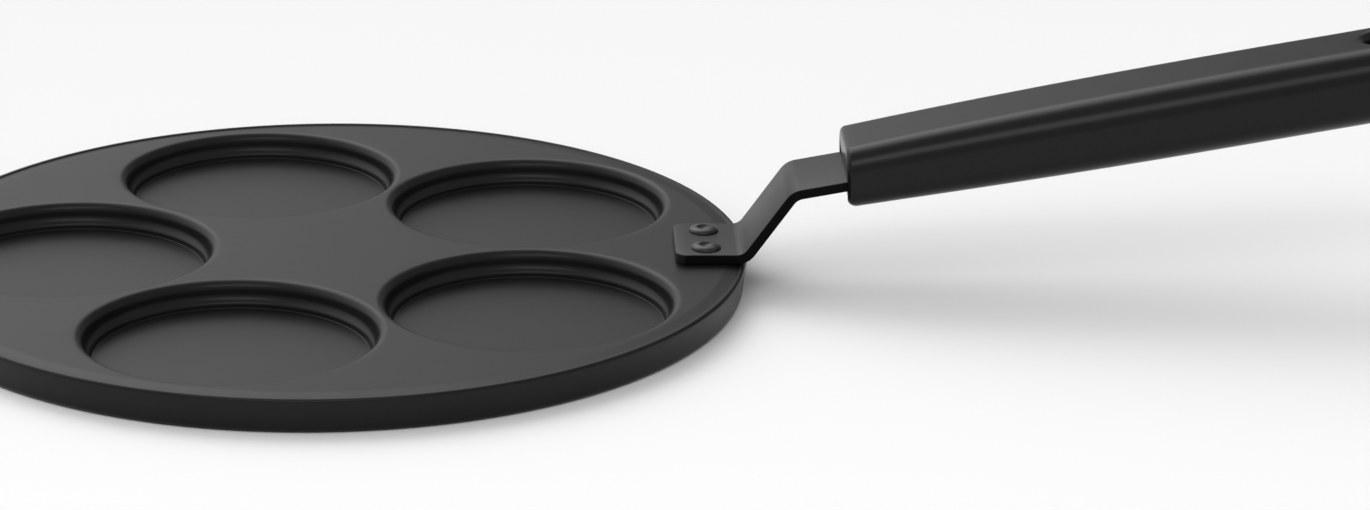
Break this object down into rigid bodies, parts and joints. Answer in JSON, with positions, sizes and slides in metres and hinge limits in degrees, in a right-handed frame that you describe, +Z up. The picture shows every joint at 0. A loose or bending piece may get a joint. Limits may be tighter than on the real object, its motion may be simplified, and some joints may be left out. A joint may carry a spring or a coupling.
{
  "type": "pancake pan",
  "caption": "Round flat pan with a ring of shallow stepped cups, a cranked strap riveted to its rim and a raised moulded grip with a hanging hole.",
  "frame": {"origin": "centre of the plate's flat underside, on the surface that the pan stands on", "axes": "+X runs from the plate's centre along the handle, +Z points up out of the cups, +Y completes the right-handed frame across the handle"},
  "size_m": [0.4744, 0.2598, 0.0813],
  "materials": {
    "plate_coating": "cast aluminium under a smooth black non-stick coating",
    "strap_paint": "satin black paint on flat steel",
    "rivet_metal": "satin black rivet heads",
    "grip_resin": "smooth black moulded resin with a soft sheen",
    "screw_steel": "plain steel"
  },
  "bodies": {
    "root": {"pan_plate": "plate_coating", "handle_strap": "strap_paint", "strap_rivets": "rivet_metal", "handle_grip": "grip_resin", "grip_screw": "screw_steel"}
  },
  "joints": []
}
